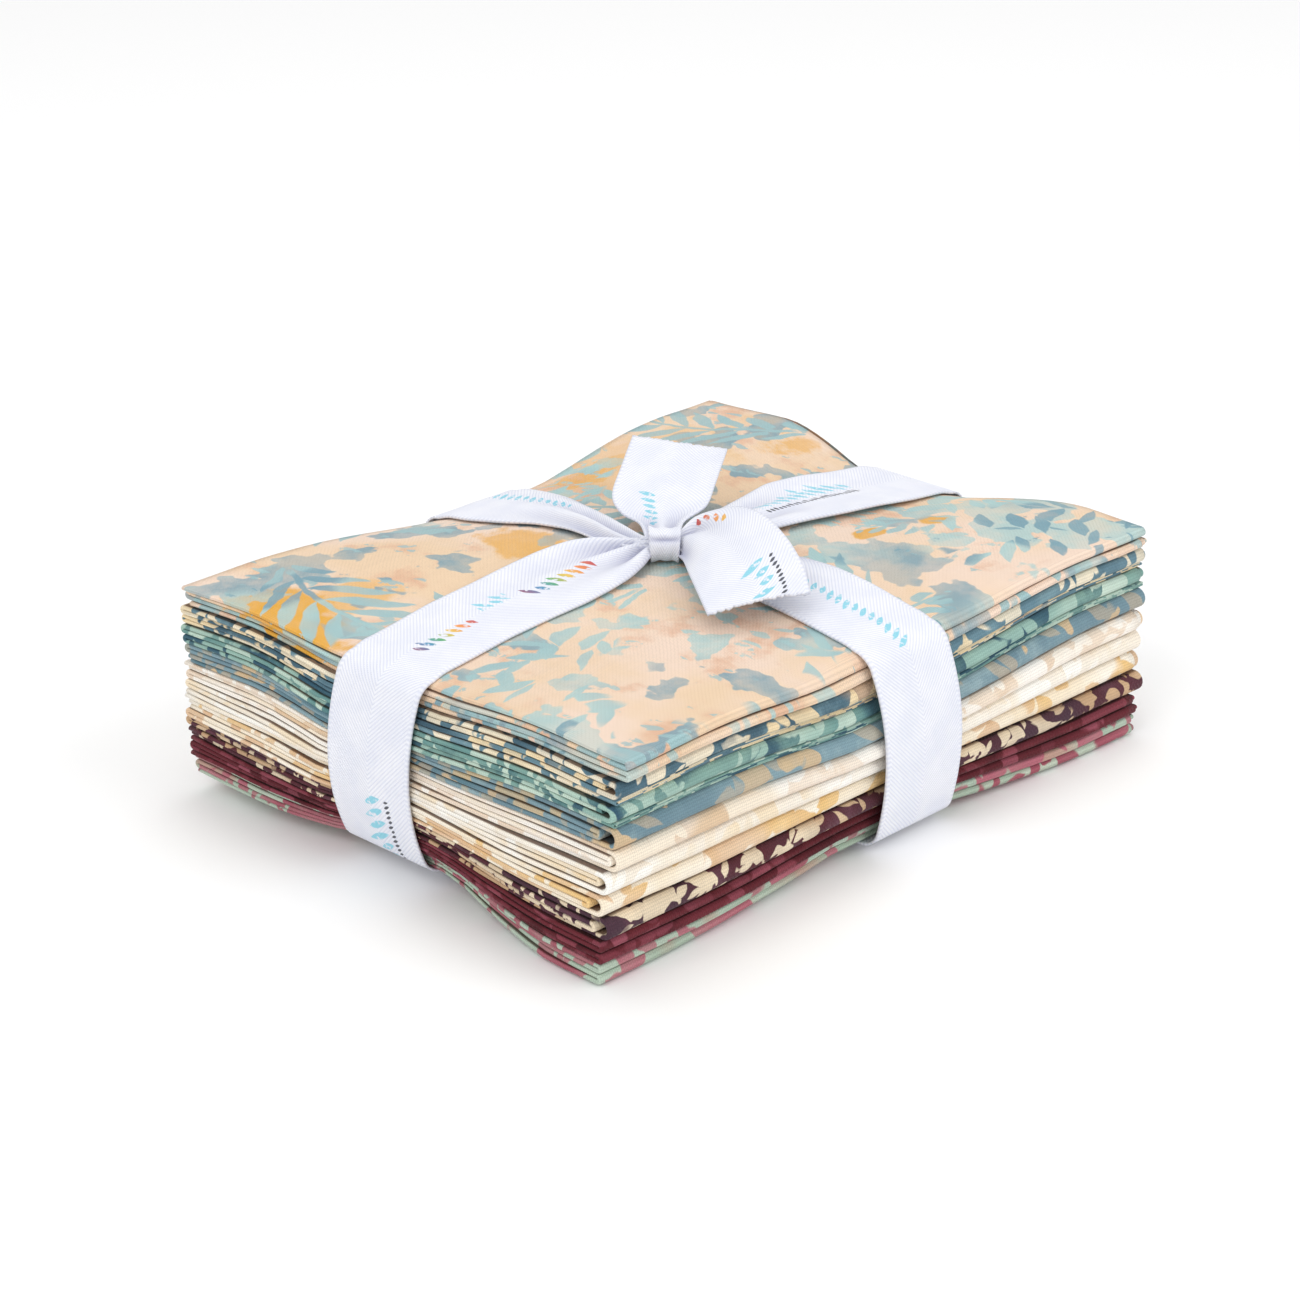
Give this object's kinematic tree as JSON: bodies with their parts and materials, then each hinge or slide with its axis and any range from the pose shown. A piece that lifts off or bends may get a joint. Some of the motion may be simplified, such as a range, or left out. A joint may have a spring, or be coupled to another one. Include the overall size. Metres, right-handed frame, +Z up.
{
  "type": "fat quarter bundle",
  "caption": "Stack of folded cotton fat quarters in batik leaf prints, tied crosswise with a flat white ribbon knotted on top with its ends left free.",
  "frame": {"origin": "middle of the bundle's footprint, on the surface it rests on", "axes": "+X along the long side of the stack, +Y along the short side, +Z up"},
  "size_m": [0.1436, 0.1116, 0.051],
  "materials": {
    "peach_leaf_cotton": "plain-weave cotton, peach dye with aqua and ochre leaves",
    "slate_cream_cotton": "plain-weave cotton, slate blue dye with cream leaves",
    "sea_green_cotton": "plain-weave cotton, sea-green dye with mint leaves",
    "blue_grey_cotton": "plain-weave cotton, blue-grey dye with tan leaves",
    "blush_cotton": "plain-weave cotton, blush dye with pale leaves",
    "ivory_cotton": "plain-weave cotton, ivory dye with faint leaves",
    "golden_leaf_cotton": "plain-weave cotton, cream dye with golden-tan leaves",
    "plum_cotton": "plain-weave cotton, plum dye with cream leaves",
    "maroon_cotton": "plain-weave cotton, maroon dye with rose traces",
    "sage_rose_cotton": "plain-weave cotton, sage dye with dusty rose leaves",
    "white_ribbon": "herringbone-twill woven ribbon, white"
  },
  "bodies": {
    "root": {"cloth_01_peach_leaf": "peach_leaf_cotton", "cloth_02_slate_cream": "slate_cream_cotton", "cloth_03_sea_green": "sea_green_cotton", "cloth_04_blue_grey": "blue_grey_cotton", "cloth_05_blush": "blush_cotton", "cloth_06_ivory": "ivory_cotton", "cloth_07_golden_leaf": "golden_leaf_cotton", "cloth_08_plum": "plum_cotton", "cloth_09_maroon": "maroon_cotton", "cloth_10_sage_rose": "sage_rose_cotton", "ribbon": "white_ribbon"}
  },
  "joints": []
}
